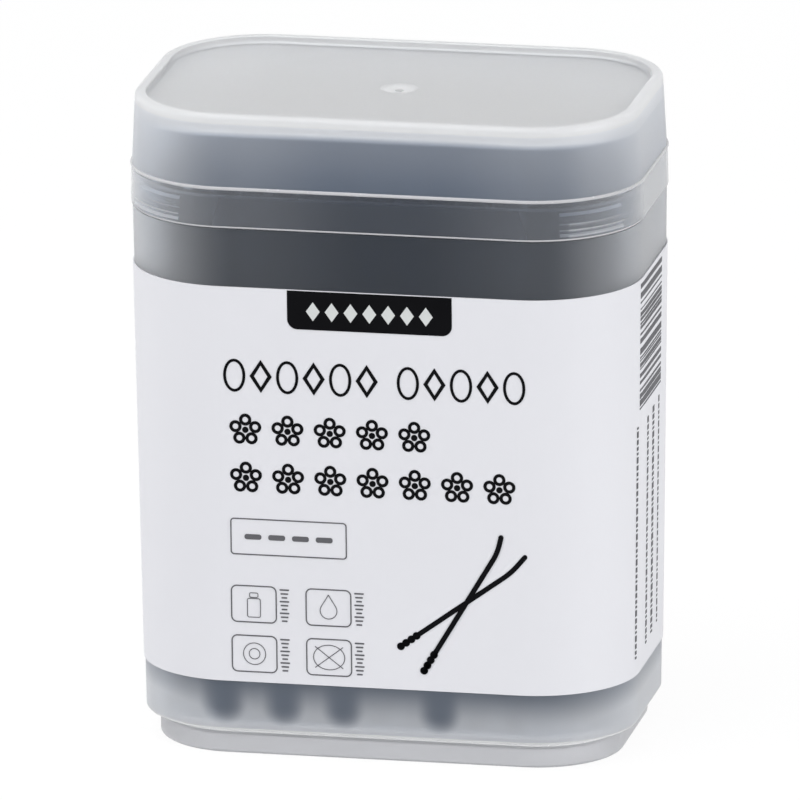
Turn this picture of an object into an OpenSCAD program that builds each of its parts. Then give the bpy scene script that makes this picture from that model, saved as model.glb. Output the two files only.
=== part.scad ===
// Cotton swab box: a frosted moulded box with a lift-off snap lid, a wrap-round paper label and 100 black
// paper swabs standing inside. Millimetres, +Z up, front towards -Y, origin at the centre of the base.

/* [Body] */
// Width of the body at its shoulder, under the lid
body_w = 66.2; // [62:0.1:74]
// Depth of the body at its shoulder
body_d = 42.5; // [40:0.1:48]
// Radius of the four upright corners at the shoulder
corner_r = 13.8; // [11:0.1:15]
// Draft of the outside wall in degrees, narrower towards the base
draft_deg = 0.87; // [0.4:0.01:1]
// Thickness of the wall just above the floor
wall = 1.5; // [1.2:0.05:1.8]
// Height of the inside floor
floor_z = 3.8; // [3.6:0.1:5]
// Thickness of the floor plate
floor_t = 1.6; // [1.2:0.1:1.8]
// Radius of the fillet between floor and wall
floor_fillet = 1.2; // [0.8:0.1:1.6]

/* [Foot] */
// Height at which the outside wall ends over the foot
wall_end_z = 3.6; // [3:0.1:4]
// How far the foot stands in from the wall above it
foot_inset = 1.8; // [1.6:0.1:2.4]
// Width of the ring that the box stands on
foot_ring = 1.5; // [1.2:0.1:2]
// Rise of the underside from the foot out to the wall
ledge_rise = 0.5; // [0.2:0.05:0.6]
// Radius of the foot's outer lower edge
foot_edge_r = 0.5; // [0.3:0.05:0.6]

/* [Neck] */
// Height of the neck above the shoulder
neck_h = 4.1; // [3.8:0.1:4.6]
// Thickness of the neck wall
neck_wall = 0.75; // [0.6:0.05:0.9]
// Gap between the neck and the skirt of the lid
neck_gap = 0.5; // [0.45:0.05:0.6]

/* [Snap beads] */
// Angle of each corner that a bead covers, in degrees
bead_span = 42; // [30:1:50]
// How far a bead stands out
bead_out = 0.2; // [0.1:0.01:0.2]
// Height of a bead inside the skirt
lid_bead_h = 0.95; // [0.6:0.05:1.1]
// Height of a bead on the neck
neck_bead_h = 1.6; // [1:0.05:1.7]
// Height of the skirt's bead above the edge of the lid
lid_bead_up = 0.4; // [0.3:0.05:0.5]
// Free height between the two beads of a corner
bead_apart = 0.5; // [0.3:0.05:0.5]

/* [Lid] */
// Height of the lid
lid_h = 14.7; // [14:0.05:18]
// Gap between the lid's edge and the shoulder
seat_gap = 0.1; // [0.05:0.01:0.3]
// Height of the skirt, from the lid's edge up to the ridge
skirt_h = 5.45; // [5.2:0.05:6]
// How far the skirt stands out over the body
skirt_out = 0.2; // [0:0.05:0.4]
// Thickness of the skirt
skirt_wall = 0.8; // [0.7:0.05:0.9]
// Radius of the ridge along the top of the skirt
ridge_r = 0.22; // [0.15:0.01:0.3]
// Thickness of the lid wall above the skirt
lid_wall = 0.95; // [0.8:0.05:1.1]
// Draft of the lid wall above the skirt, in degrees
lid_draft_deg = 2.9; // [1:0.1:3.5]
// Radius of the lid's outer top edge
rim_r = 0.7; // [0.4:0.1:1]
// Width of the raised rim round the top
rim_w = 1.4; // [1.3:0.05:2.4]
// Depth of the panel inside the rim, which the foot of another box stacks into
rim_deep = 1; // [0.8:0.05:1.2]
// Thickness of the top panel
panel_t = 1.2; // [1:0.05:1.4]
// Diameter of the moulding gate's dimple at the centre of the panel
gate_d = 5; // [3:0.1:7]
// Depth of the dimple
gate_deep = 0.4; // [0.2:0.05:0.5]

/* [Label] */
// Height of the label's lower edge
label_z = 10.3; // [8:0.1:14]
// How far the label's upper edge lies below the shoulder
label_drop = 7.6; // [6:0.1:20]
// Thickness of the label
label_t = 0.15; // [0.1:0.01:0.2]
// Width of the seam at the back
label_seam = 0.4; // [0.2:0.05:1]

/* [Swabs] */
// How many swabs the box holds
swab_count = 100; // [60:1:100]
// Length of a swab
swab_len = 74; // [70:0.5:80]
// How far the swabs stand up past the shoulder that the lid comes down to
swab_proud = 7.3; // [3:0.1:11]
// Diameter of the paper stick
stick_d = 2.3; // [2:0.1:2.4]
// Diameter of the cotton head
head_d = 4.6; // [4:0.1:4.6]
// Number of lobes wound into the cotton head
head_lobes = 4; // [3:1:5]
// Distance from one lobe to the next
lobe_step = 3; // [2.6:0.1:3.2]
// Angle of the ear scoop at the other end, in degrees
scoop_bend = 35; // [20:1:40]
// Radius of the scoop's bend, to the centre of the stick
scoop_r = 5; // [4:0.5:6]
// Diameter of the scoop's round end
scoop_d = 2.7; // [2.6:0.1:2.8]
// Free space left between neighbouring swabs, and to the walls
swab_gap = 0.15; // [0.1:0.01:0.2]

/* [Hidden] */
$fn = 96;
swab_fn = 32;
cotton_fn = 40;

// The shoulder lies below the tips of the swabs, so a box for longer swabs is taller
shoulder_z = floor_z + swab_len - swab_proud;

// Where the corners' centres are: every wall is a profile swept round this rectangle
centre_x = body_w / 2 - corner_r;
centre_y = body_d / 2 - corner_r;

// Outside of the body at height z, measured out from a corner's centre
draft = tan(draft_deg);
function outer_at(z) = corner_r - draft * (shoulder_z - z);

// Skirt, neck and beads, measured out from a corner's centre
lid_z = shoulder_z + seat_gap;
skirt_outer = corner_r + skirt_out;
skirt_inner = skirt_outer - skirt_wall;
neck_outer = skirt_inner - neck_gap;
neck_inner = neck_outer - neck_wall;
neck_top = shoulder_z + neck_h;
edge_share = 1 / 3;
neck_edge_r = edge_share * neck_wall;
lid_bead_z = lid_z + lid_bead_up;
neck_bead_z = lid_bead_z + lid_bead_h + bead_apart;
bead_root = 0.3;
bead_slope = bead_out;

// Inside of the body
inner_low = outer_at(floor_z) - wall;
function inner_at(z) = inner_low + (neck_inner - inner_low) * (z - floor_z) / (neck_top - floor_z);

// Foot
under_z = floor_z - floor_t;
ledge_z = wall_end_z - ledge_rise;
wall_edge_r = 0.3;
wall_edge_from = -75;
foot_outer = outer_at(wall_end_z) - foot_inset;
foot_inner = foot_outer - foot_ring;

// Lid
ridge_z = lid_z + skirt_h;
lid_top_z = lid_z + lid_h;
panel_z = lid_top_z - rim_deep;
ceiling_z = panel_z - panel_t;
skirt_edge_r = 0.3;
ridge_step = 0.1;
ridge_turn = 70;
ridge_sunk = edge_share * ridge_r;
lid_draft = tan(lid_draft_deg);
skirt_top = skirt_outer - draft * skirt_h;
upper_outer = skirt_top - ridge_step;
function upper_at(z) = upper_outer - lid_draft * (z - ridge_z);
inner_step_h = 0.3;
inner_step_z = ridge_z - ridge_r - inner_step_h;
ceiling_fillet = 1;
ceiling_out = upper_at(ceiling_z) - lid_wall - ceiling_fillet;
rim_inner = upper_at(lid_top_z) - rim_w;
rim_edge_r = 0.2 * rim_deep;
rim_foot_r = 0.4 * rim_deep;
gate_ball_r = (gate_d * gate_d / 4 + gate_deep * gate_deep) / (2 * gate_deep);
gate_nub_r = 0.5;
gate_nub_root = edge_share * panel_t;

// Label
label_top = shoulder_z - label_drop;
label_glue = 0.02;

// Swabs
head_r = head_d / 2;
stick_r = stick_d / 2;
tip_slim = 0.4;
tip_r = head_r - tip_slim;
stick_start = 1.6;
taper_wide = head_r - 0.1;
taper_thin = stick_r + 0.15;
taper_h = lobe_step + 0.4;
last_lobe_z = tip_r + (head_lobes - 1) * lobe_step;
head_end = last_lobe_z + taper_h;
stick_glue = 0.03;
seat_r = stick_r + stick_glue;
stand_gap = 0.05;
swab_z = floor_z + stand_gap;
scoop_rise = scoop_r * sin(scoop_bend) + scoop_d / 2;
scoop_end_r = scoop_d / 2;
scoop_hollow_r = 0.6 * stick_r;
scoop_hollow_out = 0.8 * stick_r;
scoop_hollow_up = 0.35 * stick_r;

// Rows of swabs from the front to the back
swab_rows = 7;
row_reach = inner_low - head_r - swab_gap;
row_step = 2 * (centre_y + row_reach) / (swab_rows - 1);
mixed_gap = head_r + stick_r + swab_gap;
same_gap = head_d + 2 * swab_gap;
function row_y(i) = -centre_y - row_reach + i * row_step;
function past_corner(y) = max(0, abs(y) - centre_y);
function row_half(i) = centre_x + sqrt(max(0, row_reach * row_reach - pow(past_corner(row_y(i)), 2)));
function row_fit(i) = floor(2 * row_half(i) / mixed_gap) + 1;
function row_gap(i) = 2 * row_half(i) / (row_fit(i) - 1);

// The front row as it shows through the wall: true is a swab with its cotton up
front_row = [false, true, false, true, false, true, true, false, true, true];
function front_step(k) = front_row[k] == front_row[k - 1] ? same_gap : row_gap(0);
function front_x(j) = j == 0 ? -row_half(0) : front_x(j - 1) + front_step(j);
function is_up(i, j) = i == 0 ? front_row[j] : (i + j) % 2 == 1;
function swab_x(i, j) = i == 0 ? front_x(j) : -row_half(i) + j * row_gap(i);
function front_fit() = len([for (j = [0:len(front_row) - 1]) if (front_x(j) <= row_half(0) + swab_gap) j]);
function row_room(i) = i == 0 ? front_fit() : row_fit(i);
function placed(i) = i == 0 ? 0 : placed(i - 1) + row_room(i - 1);
function row_count(i) = max(0, min(row_room(i), swab_count - placed(i)));
function scoop_side(i) = row_y(i) > row_step / 2 ? -1 : 1;

// Points of an arc round [x, z], from angle a to angle b in n steps
function arc(x, z, r, a, b, n) =
    [for (k = [0:n]) let (t = a + (b - a) * k / n) [x + r * cos(t), z + r * sin(t)]];

// Sweeps a profile round the rounded rectangle: x of the profile is the distance out from a corner's centre
module sweep_round() {
    for (sx = [-1, 1], sy = [-1, 1])
        translate([sx * centre_x, sy * centre_y, 0])
            rotate([0, 0, sx * sy > 0 ? (sx > 0 ? 0 : 180) : (sx > 0 ? 270 : 90)])
                rotate_extrude(angle = 90)
                    children();
    for (side = [0, 180]) {
        rotate([0, 0, side])
            translate([-centre_x, -centre_y, 0])
                rotate([0, 0, -90])
                    run_along(2 * centre_x)
                        children();
        rotate([0, 0, side])
            translate([centre_x, -centre_y, 0])
                run_along(2 * centre_y)
                    children();
    }
}

// Extrudes a profile along +Y, with its x along +X and its y along +Z
module run_along(length) {
    translate([0, length, 0])
        rotate([90, 0, 0])
            linear_extrude(length)
                children();
}

// Fills the middle of a plate between the corners' centres
module plate_core(z, t) {
    translate([-centre_x, -centre_y, z])
        cube([2 * centre_x, 2 * centre_y, t]);
}

// A snap bead on one corner, drawn from its profile
module corner_beads() {
    for (corner = [0:3])
        translate([(corner == 0 || corner == 3 ? 1 : -1) * centre_x, (corner < 2 ? 1 : -1) * centre_y, 0])
            rotate([0, 0, 90 * corner + 45 - bead_span / 2])
                rotate_extrude(angle = bead_span)
                    children();
}

// Profile of the moulded body: floor, foot, wall and neck in one
module body_profile() {
    polygon(concat(
        [[0, under_z], [foot_inner, under_z], [foot_inner, 0]],
        arc(foot_outer - foot_edge_r, foot_edge_r, foot_edge_r, -90, 0, 4),
        [[foot_outer, ledge_z]],
        arc(outer_at(wall_end_z) - wall_edge_r, wall_end_z + wall_edge_r, wall_edge_r, wall_edge_from, 0, 3),
        [[corner_r, shoulder_z], [neck_outer, shoulder_z]],
        arc(neck_outer - neck_edge_r, neck_top - neck_edge_r, neck_edge_r, 0, 90, 3),
        arc(neck_inner + neck_edge_r, neck_top - neck_edge_r, neck_edge_r, 90, 180, 3),
        arc(inner_at(floor_z + floor_fillet) - floor_fillet, floor_z + floor_fillet, floor_fillet, 0, -90, 5),
        [[0, floor_z]]));
}

module neck_bead_profile() {
    polygon([[neck_outer - bead_root, neck_bead_z], [neck_outer, neck_bead_z],
        [neck_outer + bead_out, neck_bead_z + bead_slope],
        [neck_outer + bead_out, neck_bead_z + neck_bead_h - 2 * bead_slope],
        [neck_outer, neck_bead_z + neck_bead_h], [neck_outer - bead_root, neck_bead_z + neck_bead_h]]);
}

module body_shell() {
    color([0.84, 0.86, 0.88, 0.55]) {
        sweep_round()
            body_profile();
        plate_core(under_z, floor_t);
        corner_beads()
            neck_bead_profile();
    }
}

// Profile of the moulded lid: skirt, ridge, wall, rim and top panel in one
module lid_profile() {
    polygon(concat(
        [[0, ceiling_z]],
        arc(ceiling_out, ceiling_z - ceiling_fillet, ceiling_fillet, 90, 0, 5),
        [[upper_at(inner_step_z) - lid_wall, inner_step_z],
            [skirt_inner - draft * (inner_step_z - inner_step_h - lid_z), inner_step_z - inner_step_h],
            [skirt_inner, lid_z]],
        arc(skirt_outer - skirt_edge_r, lid_z + skirt_edge_r, skirt_edge_r, -90, 0, 3),
        arc(skirt_top - ridge_sunk, ridge_z - ridge_r, ridge_r, -ridge_turn, ridge_turn, 5),
        [[upper_outer, ridge_z]],
        arc(upper_at(lid_top_z - rim_r) - rim_r, lid_top_z - rim_r, rim_r, 0, 90, 8),
        arc(rim_inner + rim_edge_r, lid_top_z - rim_edge_r, rim_edge_r, 90, 180, 4),
        arc(rim_inner - rim_foot_r, panel_z + rim_foot_r, rim_foot_r, 0, -90, 4),
        [[0, panel_z]]));
}

module lid_bead_profile() {
    polygon([[skirt_inner + bead_root, lid_bead_z], [skirt_inner, lid_bead_z],
        [skirt_inner - bead_out, lid_bead_z + 2 * bead_slope],
        [skirt_inner - bead_out, lid_bead_z + lid_bead_h - bead_slope],
        [skirt_inner, lid_bead_z + lid_bead_h], [skirt_inner + bead_root, lid_bead_z + lid_bead_h]]);
}

module lid() {
    color([0.87, 0.88, 0.9, 0.6]) {
        difference() {
            union() {
                sweep_round()
                    lid_profile();
                plate_core(ceiling_z, panel_t);
            }
            translate([0, 0, panel_z - gate_deep + gate_ball_r])
                sphere(gate_ball_r);
        }
        translate([0, 0, panel_z - gate_deep - gate_nub_root])
            cylinder(h = gate_nub_root + gate_deep / 2, r = gate_nub_r);
        corner_beads()
            lid_bead_profile();
    }
}

// Profile of the label, lying on the drafted wall
module label_profile() {
    low = outer_at(label_z) + label_glue;
    high = outer_at(label_top) + label_glue;
    polygon([[low, label_z], [low + label_t, label_z], [high + label_t, label_top], [high, label_top]]);
}

module label() {
    color([0.94, 0.94, 0.96])
        difference() {
            sweep_round()
                label_profile();
            translate([-label_seam / 2, 0, 0])
                cube([label_seam, body_d, shoulder_z]);
        }
}

// One paper stick, its cotton end down at z = 0 and its ear scoop on top, bent towards side * Y
module stick(side) {
    bend_z = swab_len - scoop_rise;
    difference() {
        union() {
            translate([0, 0, stick_start])
                cylinder(h = bend_z - stick_start, r = stick_r, $fn = swab_fn);
            translate([0, side * scoop_r, bend_z])
                rotate([0, 0, -90 * side])
                    rotate([90, 0, 0])
                        rotate_extrude(angle = scoop_bend)
                            translate([scoop_r, 0])
                                circle(stick_r, $fn = swab_fn);
            scoop_end(side, bend_z)
                sphere(scoop_end_r, $fn = swab_fn);
        }
        scoop_end(side, bend_z)
            translate([0, side * scoop_hollow_out, scoop_hollow_up])
                rotate([0, 90, 0])
                    cylinder(h = 2 * scoop_d, r = scoop_hollow_r, center = true, $fn = swab_fn);
    }
}

// Places what is drawn at the end of the bend, with +Z along the tip
module scoop_end(side, bend_z) {
    translate([0, side * scoop_r * (1 - cos(scoop_bend)), bend_z + scoop_r * sin(scoop_bend)])
        rotate([-side * scoop_bend, 0, 0])
            children();
}

// One cotton head wound in lobes, its tip down at z = 0, with the stick's seat inside
module cotton_head() {
    rotate_extrude($fn = cotton_fn)
        difference() {
            intersection() {
                union() {
                    translate([0, tip_r])
                        circle(tip_r);
                    for (k = [1:head_lobes - 1])
                        translate([0, tip_r + k * lobe_step])
                            circle(head_r);
                    translate([0, last_lobe_z])
                        polygon([[0, 0], [taper_wide, 0], [taper_thin, taper_h], [0, taper_h]]);
                }
                square([head_d, head_end]);
            }
            translate([0, stick_start])
                square([seat_r, swab_len]);
        }
}

// Puts a part of each swab of a row in its place, cotton down or cotton up
module swab_row(i) {
    if (row_count(i) > 0)
        for (j = [0:row_count(i) - 1])
            if (is_up(i, j))
                translate([swab_x(i, j), row_y(i), swab_z + swab_len])
                    mirror([0, 0, 1])
                        children();
            else
                translate([swab_x(i, j), row_y(i), swab_z])
                    children();
}

module sticks_row(i) {
    color([0.07, 0.07, 0.08])
        swab_row(i)
            stick(scoop_side(i));
}

module cotton_row(i) {
    color([0.11, 0.11, 0.12])
        swab_row(i)
            cotton_head();
}

body_shell();
lid();
label();
sticks_row(0);  // sticks_row_1
sticks_row(1);  // sticks_row_2
sticks_row(2);  // sticks_row_3
sticks_row(3);  // sticks_row_4
sticks_row(4);  // sticks_row_5
sticks_row(5);  // sticks_row_6
sticks_row(6);  // sticks_row_7
cotton_row(0);  // cotton_row_1
cotton_row(1);  // cotton_row_2
cotton_row(2);  // cotton_row_3
cotton_row(3);  // cotton_row_4
cotton_row(4);  // cotton_row_5
cotton_row(5);  // cotton_row_6
cotton_row(6);  // cotton_row_7
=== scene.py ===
"""Cotton swab box: frosted moulding, wrapped label with plain print, black paper swabs inside."""
import math
import bmesh
import bpy
from mathutils import Matrix, Vector


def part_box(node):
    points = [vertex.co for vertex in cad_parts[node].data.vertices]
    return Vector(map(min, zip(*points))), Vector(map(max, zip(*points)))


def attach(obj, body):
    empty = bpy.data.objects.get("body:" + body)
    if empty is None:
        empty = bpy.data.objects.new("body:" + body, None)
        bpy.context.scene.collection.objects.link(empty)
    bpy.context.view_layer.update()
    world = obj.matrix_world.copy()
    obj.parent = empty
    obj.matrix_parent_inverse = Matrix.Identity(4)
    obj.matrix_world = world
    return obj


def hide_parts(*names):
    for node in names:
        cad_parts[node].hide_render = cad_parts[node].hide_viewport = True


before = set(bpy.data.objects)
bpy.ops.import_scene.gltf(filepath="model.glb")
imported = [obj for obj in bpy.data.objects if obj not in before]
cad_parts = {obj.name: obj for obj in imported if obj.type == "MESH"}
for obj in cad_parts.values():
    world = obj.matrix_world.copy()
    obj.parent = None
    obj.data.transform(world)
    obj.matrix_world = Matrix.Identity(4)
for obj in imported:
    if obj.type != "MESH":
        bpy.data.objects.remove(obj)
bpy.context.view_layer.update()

MM = 0.001

# Box, in millimetres, as in the part
BODY_W = 66.2
BODY_D = 42.5
CORNER_R = 13.8
SHOULDER_Z = 70.5
DRAFT = math.tan(math.radians(0.87))
CENTRE_X = BODY_W / 2 - CORNER_R
CENTRE_Y = BODY_D / 2 - CORNER_R
LABEL_FACE = 0.17
LABEL_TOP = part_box("label")[1].z / MM
LID_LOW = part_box("lid")[0].z / MM
LID_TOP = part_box("lid")[1].z / MM

# Camera, fitted to the outlines of the photograph
VIEW_YAW = math.radians(11.79)
VIEW_PITCH = math.radians(15.84)
VIEW_ROLL = math.radians(-0.486)
VIEW_DISTANCE = 2523.8
VIEW_WIDTH = 102.74
VIEW_CENTRE = (0.0, 0.0, 43.0)
VIEW_RIGHT = 0.247
VIEW_UP = 0.137
VIEW_NEAR = 0.1
VIEW_FAR = 20
SENSOR = 36.0

# Studio: a soft light all round, white behind and beside the box, cooler and dimmer on the side of the camera
AMBIENT_SHADE = (0.97, 0.98, 1.0)
AMBIENT_STRENGTH = 0.55
FRONT_SHADE = (0.32, 0.39, 0.50)
FRONT_DIRECTION = (0.2, -0.98, 0.0)
FRONT_START = 0.45
FRONT_END = 0.85

# Floor, in metres, and the share of it that looks white to the eye
FLOOR_SIZE = 3.0
FLOOR_SHADE = (0.85, 0.85, 0.85)
FLOOR_ROUGH = 0.8
FLOOR_WHITE = 0.9
FLOOR_GLOW = 1.03

# Square soft boxes: place and size in metres
LAMP_AIM = (0, 0, 0.045)
LAMPS = {
    "top_lamp": {"place": (-0.15, -0.25, 0.75), "size": 0.5, "watts": 2.6},
    "right_lamp": {"place": (0.8, -0.35, 0.25), "size": 0.5, "watts": 2.6},
    "left_lamp": {"place": (-0.8, -0.3, 0.3), "size": 0.5, "watts": 1.4},
}

# Detail of the noise that makes blotches and grain
BLOTCH_DETAIL = 3
GRAIN_DETAIL = 2

# Plastic, as the colours written on its shader
CLEAR_PLASTIC = (0.74, 0.86, 1.0)
WHITE_PLASTIC = (0.96, 0.965, 0.97)
# The next colour is the painted light on the plastics with painted light and shade.
COOL_PLASTIC = (0.93, 0.955, 1.0)
# The next three colours paint shade on the foot, shade on the neck and the inside of the skirt, and a dimmer
# highlight on the ridge and the lid's lower edge.
FOOT_SHADE_PLASTIC = (0.735, 0.74, 0.765)
WALL_SHADE_PLASTIC = (0.62, 0.68, 0.77)
DIM_HIGHLIGHT_PLASTIC = (0.65, 0.65, 0.67)

# What all the plastics share
PLASTIC_IOR = 1.49
PLASTIC_BLOTCH = 45
PLASTIC_GRAIN = 2600
PLASTIC_RELIEF = 0.004
PLASTIC_DARKER = 0.96
PLASTIC_SHEEN = 0.25
PLASTIC_SHEEN_ROUGH = 0.35

# Share of scattered light from which the plastic is neutral white
NEUTRAL_MILK = 0.3

# Roughness of a finish, from its smoothest spots to its roughest
SATIN = (0.32, 0.44)
SOFT_SATIN = (0.36, 0.46)
COARSE_SATIN = (0.4, 0.5)
CRISP = (0.16, 0.24)
SKIRT_CRISP = (0.14, 0.2)
EDGE_CRISP = (0.22, 0.3)
GATE_SATIN = (0.3, 0.4)

# Painted light and shade on the plastic. Each step runs from a start to an end, in millimetres, and from one
# share to another.
# At share 0 the plastic keeps its dark colour, a painted shade where shadow and the dark swabs behind it show
# through, and at share 1 its light colour, a painted light. Wall and Rim are heights: the lid wall is painted
# lighter towards its top and in a band under the rim, and the base is painted darker under the label, a
# painted shadow, and lighter towards the floor. Middle and Side are distances across the width from the
# centre given next, where the swabs crowd the wall most, so the corners are painted lighter.
SHADE_CENTRE = 3.0
PAINTED_LIGHT_STEPS = ("Wall", "Rim", "Middle", "Side")
ACROSS_STEPS = ("Middle", "Side")
STEP_BOUNDS = ("Start", "End", "From", "To")
NO_STEP = (0, 1, 0, 0)
LID_PAINTED_LIGHT = {
    "Wall": (75.5, 83.0, 0, 0.2),
    "Rim": (82.3, 83.6, 0, 0.8),
    "Middle": (6, 20, 0, 0.18),
    "Side": (21, 33, 0, 0.62),
}
WALL_PAINTED_LIGHT = {
    "Middle": (2, 20, 0, 0.13),
    "Side": (20, 33, 0, 0.87),
}
SKIRT_PAINTED_LIGHT = {
    "Middle": (3, 20, 0, 0.24),
    "Side": (20, 33, 0, 0.76),
}
BASE_PAINTED_LIGHT = {
    "Wall": (10.6, 5.6, 0.06, 0.88),
    "Side": (19, 32, 0, 0.35),
}

# Painted glints of light from the snap beads behind the skirt: height over its edge, pitch, half thickness
# with the share of it that is blurred, softness of the ends, and reach across the width
BEAD_GLINTS = 3
BEAD_GLINT_LOW = 0.6
BEAD_GLINT_PITCH = 0.75
BEAD_GLINT_HALF = 0.17
BEAD_GLINT_BLUR = 0.4
BEAD_GLINT_SOFT = 0.15
BEAD_GLINT_START = 26.0
BEAD_GLINT_END = 32.5

# Plastic in each place: its share of scattered light, its finish, and its colour or gloss where they differ
PLAIN_PLASTICS = {
    "frosted_wall": {"milk": 0.015, "finish": SATIN},
    "frosted_floor": {"milk": 0.5, "finish": COARSE_SATIN},
    # Painted shade: the foot, the neck and the inside of the skirt are greyer than the wall.
    "frosted_foot": {"milk": 0.4, "finish": COARSE_SATIN, "shade": FOOT_SHADE_PLASTIC},
    "crisp_wall": {"milk": 0.015, "finish": CRISP, "shade": WALL_SHADE_PLASTIC, "gloss": 0.3},
    "crisp_bead": {"milk": 0.06, "finish": CRISP},
    # Painted highlights: along the top of the neck, a dimmer line on the ridge and the lid's lower edge, and
    # a bright one on the edges of the snap beads and the step above the foot.
    "neck_edge": {"milk": 0.3, "finish": CRISP},
    "pale_line": {"milk": 0.85, "finish": EDGE_CRISP, "shade": DIM_HIGHLIGHT_PLASTIC},
    "bright_edge": {"milk": 0.85, "finish": EDGE_CRISP},
    "lid_panel": {"milk": 0.3, "finish": SATIN},
    # Lighter rims and ledge: partly the whiteness of their thicker plastic, partly painted light. The gate
    # mark has a painted highlight.
    "lid_rim": {"milk": 0.6, "finish": SATIN},
    "rim_top": {"milk": 0.6, "finish": SATIN},
    "gate_mark": {"milk": 0.6, "finish": GATE_SATIN},
}

# The same for plastic with painted light and shade. Dark is its colour where no light is painted, a painted
# shade.
PAINTED_LIGHT_PLASTICS = {
    "lid_wall": {"milk": 0.42, "dark": (0.21, 0.26, 0.35), "steps": LID_PAINTED_LIGHT, "finish": SATIN},
    "hazy_wall": {"milk": 0.24, "dark": (0.06, 0.082, 0.125), "steps": WALL_PAINTED_LIGHT, "finish": SATIN},
    "hazy_skirt": {"milk": 0.24, "dark": (0.11, 0.135, 0.185), "steps": SKIRT_PAINTED_LIGHT, "finish": SKIRT_CRISP},
    "hazy_base": {"milk": 0.4, "dark": (0.20, 0.24, 0.31), "steps": BASE_PAINTED_LIGHT, "finish": SOFT_SATIN},
}

# Paper, cotton and ink: scale of blotches and of grain, darkest and lightest colour, finish, depth of relief
MATT_LOOKS = {
    "label_paper": {
        "dark": (0.75, 0.75, 0.785), "light": (0.79, 0.79, 0.82),
        "blotch": 25, "grain": 1500, "finish": (0.42, 0.52), "relief": 0.01, "gloss": 0.4,
    },
    "rolled_paper": {
        "dark": (0.010, 0.012, 0.018), "light": (0.022, 0.027, 0.038),
        "blotch": 200, "grain": 3000, "finish": (0.55, 0.7), "relief": 0.05,
    },
    "wound_cotton": {
        "dark": (0.012, 0.015, 0.024), "light": (0.035, 0.042, 0.060),
        "blotch": 400, "grain": 1800, "finish": (0.85, 1.0), "relief": 0.25,
        "sheen": 0.35, "sheen_rough": 0.6,
    },
}
INK_LOOK = {"blotch": 120, "grain": 3000, "finish": (0.35, 0.5), "relief": 0.01, "gloss": 0.02}

# Darkest and lightest colour of each ink
INK_SHADES = {
    "black_ink": ((0.004, 0.004, 0.005), (0.008, 0.008, 0.009)),
    "grey_ink": ((0.10, 0.10, 0.11), (0.16, 0.16, 0.17)),
    "pale_ink": ((0.62, 0.64, 0.63), (0.68, 0.70, 0.69)),
}

# Print, in millimetres: u runs to the right round the label from the middle of its front, z is the height
INK_LIFT = 0.015
INK_T = 0.03
ARC_STEPS = 8
OVAL_STEPS = 28
DISC_STEPS = 16
SLANT_LEVEL = 1.5
SLANT_UPRIGHT = 2


# Camera

def place_camera():
    """A long lens from the front right, a little above the box."""
    forward = Vector((-math.sin(VIEW_YAW) * math.cos(VIEW_PITCH),
                      math.cos(VIEW_YAW) * math.cos(VIEW_PITCH),
                      -math.sin(VIEW_PITCH)))
    level = Vector((math.cos(VIEW_YAW), math.sin(VIEW_YAW), 0))
    raised = level.cross(forward)
    right = level * math.cos(VIEW_ROLL) + raised * math.sin(VIEW_ROLL)
    up = raised * math.cos(VIEW_ROLL) - level * math.sin(VIEW_ROLL)
    place = Vector(VIEW_CENTRE) - forward * VIEW_DISTANCE - right * VIEW_RIGHT - up * VIEW_UP
    lens = bpy.data.cameras.new("camera")
    lens.sensor_width = SENSOR
    lens.lens = SENSOR * VIEW_DISTANCE / VIEW_WIDTH
    lens.clip_start = VIEW_NEAR
    lens.clip_end = VIEW_FAR
    camera = bpy.data.objects.new("camera", lens)
    camera.matrix_world = (Matrix.Translation(place * MM)
                           @ Matrix((right, up, -forward)).transposed().to_4x4())
    bpy.context.scene.collection.objects.link(camera)
    bpy.context.scene.camera = camera


# Materials

def new_material(name):
    """A material with its Principled shader, ready for nodes."""
    material = bpy.data.materials.new(name)
    material.use_nodes = True
    nodes = material.node_tree.nodes
    return material, nodes, material.node_tree.links, nodes["Principled BSDF"]


def tint(shade):
    """A colour without transparency, as a socket takes it."""
    return (shade[0], shade[1], shade[2], 1.0)


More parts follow.
